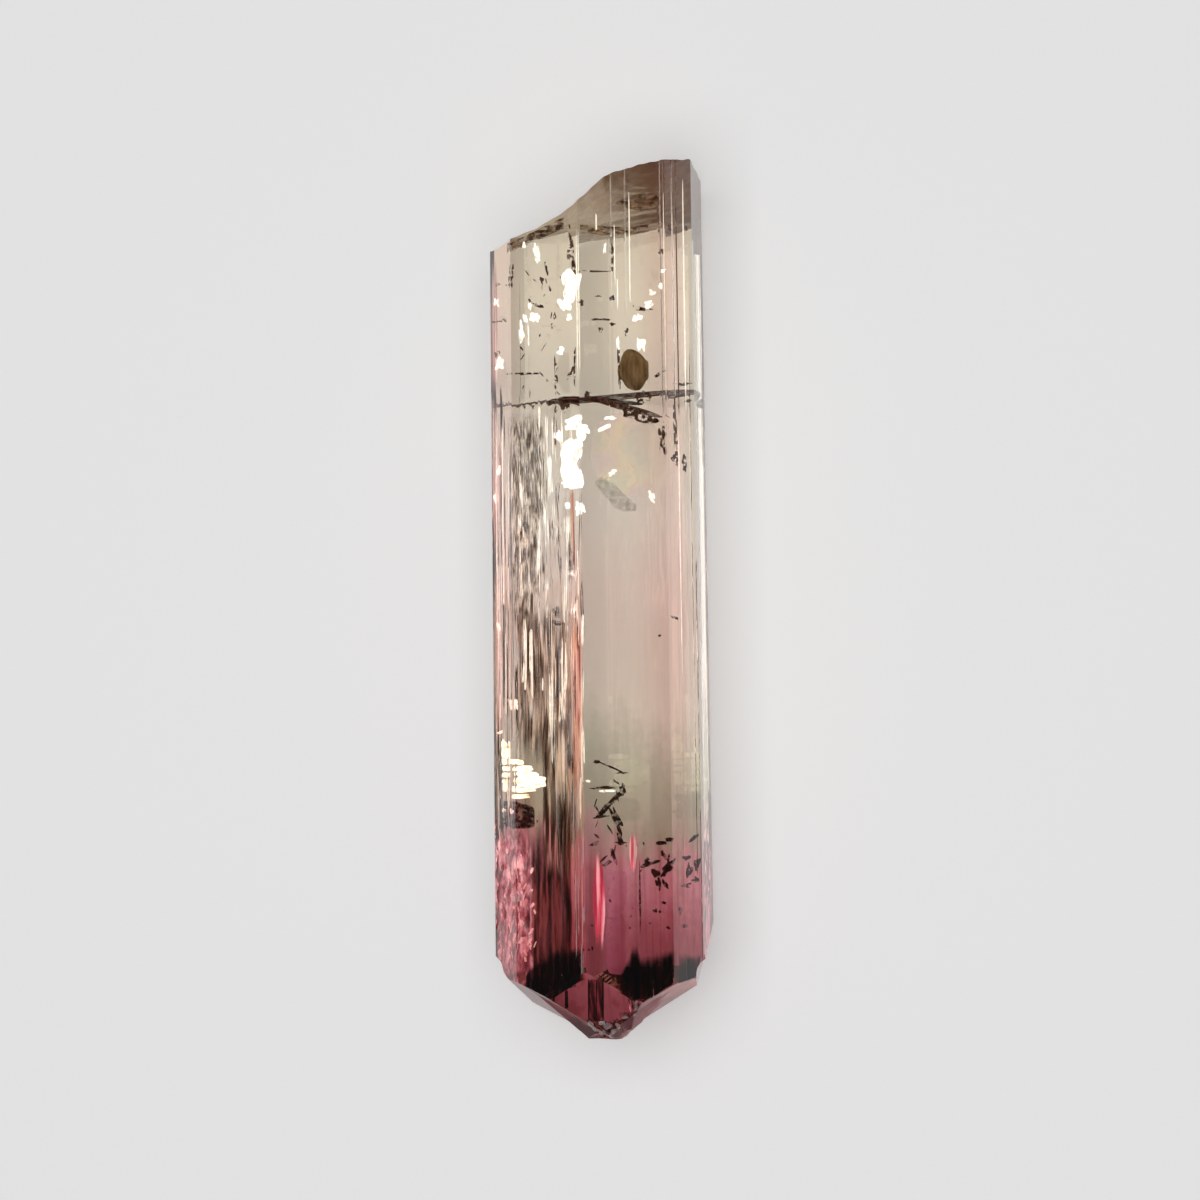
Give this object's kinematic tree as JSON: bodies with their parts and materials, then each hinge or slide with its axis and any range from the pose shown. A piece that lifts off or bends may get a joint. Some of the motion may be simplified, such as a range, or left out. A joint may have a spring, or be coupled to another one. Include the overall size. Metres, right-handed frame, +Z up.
{
  "type": "tourmaline crystal",
  "caption": "Long striated watermelon tourmaline crystal, pale green to colourless with a pink pyramid end and a slanting break at the other, lying on one prism face.",
  "frame": {"origin": "under the middle of the crystal, on the flat prism face it rests on", "axes": "+Z up, +Y along the crystal towards its broken end, +X across it; the pyramid's tip is at -Y"},
  "size_m": [0.0046, 0.019, 0.0045],
  "materials": {
    "crystal": "clear natural crystal, glossy, striped along its length"
  },
  "bodies": {
    "root": {"crystal": "crystal"}
  },
  "joints": []
}
